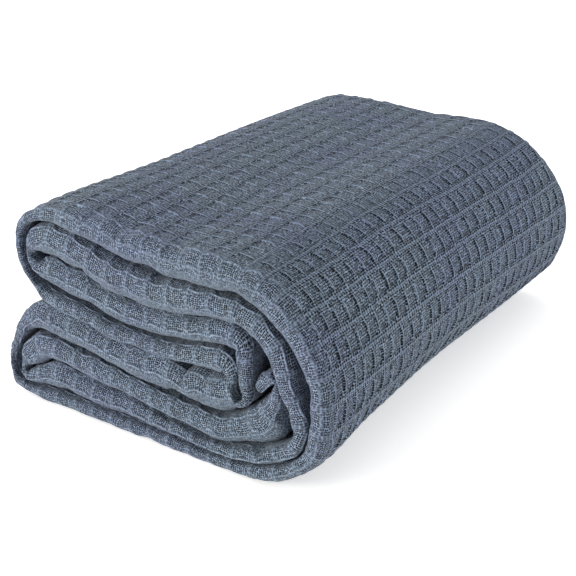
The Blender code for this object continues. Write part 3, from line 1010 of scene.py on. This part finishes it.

# The dye, a little uneven, and a fine grain. Painted shade falls on the pits'
# deepest sides, in a ring round each pit where the pits do not lean, on the edges
# where they round in between two layers and deeper in each slit; the cords are
# lighter with a painted highlight.
CLOTH_COLOUR = (0.092, 0.118, 0.158, 1.0)
VIOLET_DYE = (0.086, 0.105, 0.163, 1.0)
GREEN_DYE = (0.096, 0.125, 0.160, 1.0)
DYE_SCALE = 14.0
DYE_DETAIL = 3.0
DYE_SPREAD = (0.38, 0.62)
DYE_SHARE = 0.5
WEAVE_LIGHT = 0.74
PIT_SHADE = 0.86
CORD_PAINTED_HIGHLIGHT = 0.30
CREVICE_SHADE = 0.18
RIM_SHADE = 0.17
RIM_START = (0.7, 1.1)
RIM_STOP = (1.9, 1.3)
GRAIN = 0.5
TOP_GRAIN = 0.75
GRAIN_SCALE = 700.0
GRAIN_SPREAD = (0.3, 0.7)
GRAIN_ON_CORD = 0.9
GRAIN_ON_BAND = 0.45
dye = slope(tree, cloudy(tree, spot, DYE_SCALE, DYE_DETAIL), *DYE_SPREAD)
dyed = blended(tree, DYE_SHARE, CLOTH_COLOUR, blended(tree, dye, VIOLET_DYE, GREEN_DYE))
# Lighter where the weave is open; where that fades deep in a slit, the darker cloth is painted shade.
shade = maths(tree, "ADD", 1.0, times(tree, WEAVE_LIGHT, open_weave_and_slit_shade))
shade = times(tree, shade, less(tree, hole))
# Painted shade on each pit's deepest side.
shade = times(tree, shade, less(tree, deepest, 1.0 - PIT_SHADE))
# Painted shade: a dark ring round each pit where the pits do not lean.
painted_rim_shade = times(tree, slope(tree, pit_edge, *RIM_START), slope(tree, pit_edge, *RIM_STOP), plain)
shade = times(tree, shade, less(tree, painted_rim_shade, open_weave_and_slit_shade, RIM_SHADE))
# Painted highlight on the cords and ribs, stronger on the top.
shade = times(tree, shade, maths(tree, "ADD", 1.0, times(tree, cord, CORD_PAINTED_HIGHLIGHT)))
# Painted shade where each edge rounds in between two layers.
shade = times(tree, shade, less(tree, carried["painted_crevice_shade"], CREVICE_SHADE))
grain = slope(tree, cloudy(tree, spot, GRAIN_SCALE, 1.0), *GRAIN_SPREAD)
grain = maths(tree, "SUBTRACT", grain, 0.5)
grain_share = maths(tree, "ADD", GRAIN, times(tree, less(tree, plain), TOP_GRAIN - GRAIN))
grain = times(tree, grain, less(tree, cord, GRAIN_ON_CORD))
grain = times(tree, grain, less(tree, on_band, GRAIN_ON_BAND))
shade = times(tree, shade, maths(tree, "ADD", 1.0, times(tree, grain, grain_share, 2.0)))
grey = tree.nodes.new("ShaderNodeCombineColor")
for name in ("Red", "Green", "Blue"):
    tree.links.new(shade, grey.inputs[name])
colour = blended(tree, 1.0, dyed, grey.outputs[0], "MULTIPLY")

# The surface: matt, with a faint bloom of fibres, and the threads' own small relief.
CLOTH_ROUGHNESS = 0.93
CLOTH_SHEEN = 0.10
SHEEN_ROUGHNESS = 0.5
CLOTH_SPECULAR = 0.2
THREAD_RELIEF = 0.38
THREAD_SPREAD = (0.1, 0.7)
CORD_RELIEF = 0.45
cloth_shader = tree.nodes["Principled BSDF"]
set_inputs(cloth_shader, {
    "Roughness": CLOTH_ROUGHNESS, "Specular IOR Level": CLOTH_SPECULAR,
    "Sheen Weight": CLOTH_SHEEN, "Sheen Roughness": SHEEN_ROUGHNESS,
})
tree.links.new(colour, cloth_shader.inputs["Base Color"])
height = maths(tree, "ADD", times(tree, pit_threads, pit), times(tree, band_threads, less(tree, pit)))
height = times(tree, slope(tree, height, *THREAD_SPREAD), THREAD_RELIEF)
height = maths(tree, "ADD", height, times(tree, cord, CORD_RELIEF))
bump = tree.nodes.new("ShaderNodeBump")
set_inputs(bump, {"Strength": 1.0, "Distance": MM})
tree.links.new(height, bump.inputs["Height"])
tree.links.new(bump.outputs["Normal"], cloth_shader.inputs["Normal"])

# The waffle: the bands and ribs stand up and leave a rounded pit in each cell,
# with the pit's floor bulging a little. Depths are in millimetres, and the pairs
# again say where a thing begins and where it is complete.
PIT_DEPTH = 1.15
FLOOR_BULGE = 0.15
RIB_HEIGHT = 0.42
CRUMPLE = 2.5
CRUMPLE_SCALE = 38.0
CRUMPLE_MIDDLE = 0.45
UNEVENNESS = 0.5
LUMP_SCALE = 70.0
SINK = (1.5, 0.8)
FLOOR_EDGE = (0.6, 0.0)
LOW_SIDE = (0.85, 0.12)
EVEN_DEPTH = 0.6
RIB_EDGE = (1.1, 0.2)
RIB_ENDS = (1.5, 4.5)
waffle = bpy.data.node_groups.new("waffle_relief", "GeometryNodeTree")
face = waffle.interface
face.new_socket("Geometry", in_out="INPUT", socket_type="NodeSocketGeometry")
for name, value in (
    ("Pit Depth", PIT_DEPTH * MM), ("Cell Along Strip", CELL_SIZE[0]),
    ("Cell Across Strip", CELL_SIZE[1]), ("Floor Bulge", FLOOR_BULGE),
    ("Unevenness", UNEVENNESS), ("Rib Height", RIB_HEIGHT * MM),
    ("Crumple", CRUMPLE * MM),
):
    socket = face.new_socket(name, in_out="INPUT", socket_type="NodeSocketFloat")
    socket.default_value = value
socket = face.new_socket("Cloth", in_out="INPUT", socket_type="NodeSocketMaterial")
face.new_socket("Geometry", in_out="OUTPUT", socket_type="NodeSocketGeometry")
entry = waffle.nodes.new("NodeGroupInput")
leave = waffle.nodes.new("NodeGroupOutput")
given = entry.outputs


def cloth_value(name):
    """A value that the net carries at each of its points."""
    node = waffle.nodes.new("GeometryNodeInputNamedAttribute")
    node.data_type = "FLOAT"
    node.inputs["Name"].default_value = name
    return node.outputs["Attribute"]


sizes = (given["Cell Along Strip"], given["Cell Across Strip"])
band_line = from_line(waffle, cloth_value("band"), sizes[0])
rib_line = from_line(waffle, cloth_value("rib"), sizes[1])
pit_line = pit_measure(waffle, band_line, rib_line, sizes)
position = waffle.nodes.new("GeometryNodeInputPosition")
lumps = maths(waffle, "SUBTRACT", cloudy(waffle, position.outputs[0], LUMP_SCALE, 1.0), 0.5)
pit_line = maths(waffle, "ADD", pit_line, times(waffle, lumps, given["Unevenness"]))
sunk = slope(waffle, pit_line, *SINK)
floor_rise = times(waffle, slope(waffle, pit_line, *FLOOR_EDGE), given["Floor Bulge"])
sunk = maths(waffle, "SUBTRACT", sunk, floor_rise)
leaning = cloth_value("lean")
low_side = deep_side(waffle, leaning, cloth_value("band"), cloth_value("rib"), *LOW_SIDE)
evenly = less(waffle, maths(waffle, "ABSOLUTE", leaning))
sunk = times(waffle, sunk, maths(waffle, "ADD", times(waffle, evenly, EVEN_DEPTH), low_side))
sunk = times(waffle, sunk, given["Pit Depth"])
rib_top = times(waffle, slope(waffle, rib_line, *RIB_EDGE), slope(waffle, band_line, *RIB_ENDS))
sunk = maths(waffle, "SUBTRACT", sunk, times(waffle, rib_top, given["Rib Height"]))
crumpled = cloudy(waffle, position.outputs[0], CRUMPLE_SCALE, 1.0)
crumpled = maths(waffle, "SUBTRACT", crumpled, CRUMPLE_MIDDLE)
sunk = maths(waffle, "ADD", sunk, times(waffle, crumpled, given["Crumple"], cloth_value("crumple")))
sunk = times(waffle, sunk, cloth_value("strength"))
outward = waffle.nodes.new("GeometryNodeInputNormal")
moved = waffle.nodes.new("ShaderNodeVectorMath")
moved.operation = "SCALE"
waffle.links.new(outward.outputs[0], moved.inputs[0])
waffle.links.new(times(waffle, sunk, -1.0), moved.inputs["Scale"])
press = waffle.nodes.new("GeometryNodeSetPosition")
waffle.links.new(given["Geometry"], press.inputs["Geometry"])
waffle.links.new(moved.outputs[0], press.inputs["Offset"])
made = waffle.nodes.new("GeometryNodeRealizeInstances")
waffle.links.new(press.outputs[0], made.inputs[0])
dressed = waffle.nodes.new("GeometryNodeSetMaterial")
waffle.links.new(made.outputs[0], dressed.inputs["Geometry"])
waffle.links.new(given["Cloth"], dressed.inputs["Material"])
waffle.links.new(dressed.outputs[0], leave.inputs[0])

net_object = bpy.data.objects.new("net", net)
bpy.context.scene.collection.objects.link(net_object)
weaving = net_object.modifiers.new("waffle", "NODES")
weaving.node_group = waffle
for item in face.items_tree:
    if item.item_type == "SOCKET" and item.in_out == "INPUT" and item.name == "Cloth":
        weaving[item.identifier] = cotton
bpy.context.view_layer.update()
woven_object = net_object.evaluated_get(bpy.context.evaluated_depsgraph_get())
woven_mesh = bpy.data.meshes.new_from_object(woven_object)
net_object.modifiers.remove(weaving)
bpy.data.objects.remove(net_object)

# The blanket's pieces: the one cloth is cut along lines of its net, and each piece
# keeps the normals of the whole. GIRTH is the cloth round the strip, in metres.
woven_points = np.empty((len(points), 3), np.float32)
woven_mesh.vertices.foreach_get("co", woven_points.ravel())
woven_normals = np.empty((len(points), 3), np.float32)
woven_mesh.vertex_normals.foreach_get("vector", woven_normals.ravel())
starts = [max(band_length(row.start, 0.0), 0.0) for row in STRETCHES] + [strip_length]
for number, stretch in enumerate(STRETCHES):
    quads = faces[face_piece == number]
    kept_points, local = np.unique(quads, return_inverse=True)
    local = local.reshape(quads.shape)
    mesh = quick_mesh(stretch.name, woven_points[kept_points], local)
    layer = mesh.uv_layers.new(name="weave")
    corner = local.ravel()
    weave_place = [net_values[name][kept_points][corner] for name in ("band", "rib")]
    layer.data.foreach_set("uv", np.stack(weave_place, axis=1).astype(np.float32).ravel())
    for name in ("holes_and_slit_shade", "lean", "painted_crevice_shade"):
        layer = mesh.attributes.new(name, "FLOAT", "POINT")
        layer.data.foreach_set("value", net_values[name][kept_points].astype(np.float32))
    mesh.materials.append(cotton)
    mesh.shade_smooth()
    mesh.normals_split_custom_set_from_vertices(woven_normals[kept_points])
    piece = bpy.data.objects.new(stretch.name, mesh)
    bpy.context.scene.collection.objects.link(piece)
    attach(piece, "root")
    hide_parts("blanket")
bpy.data.meshes.remove(woven_mesh)
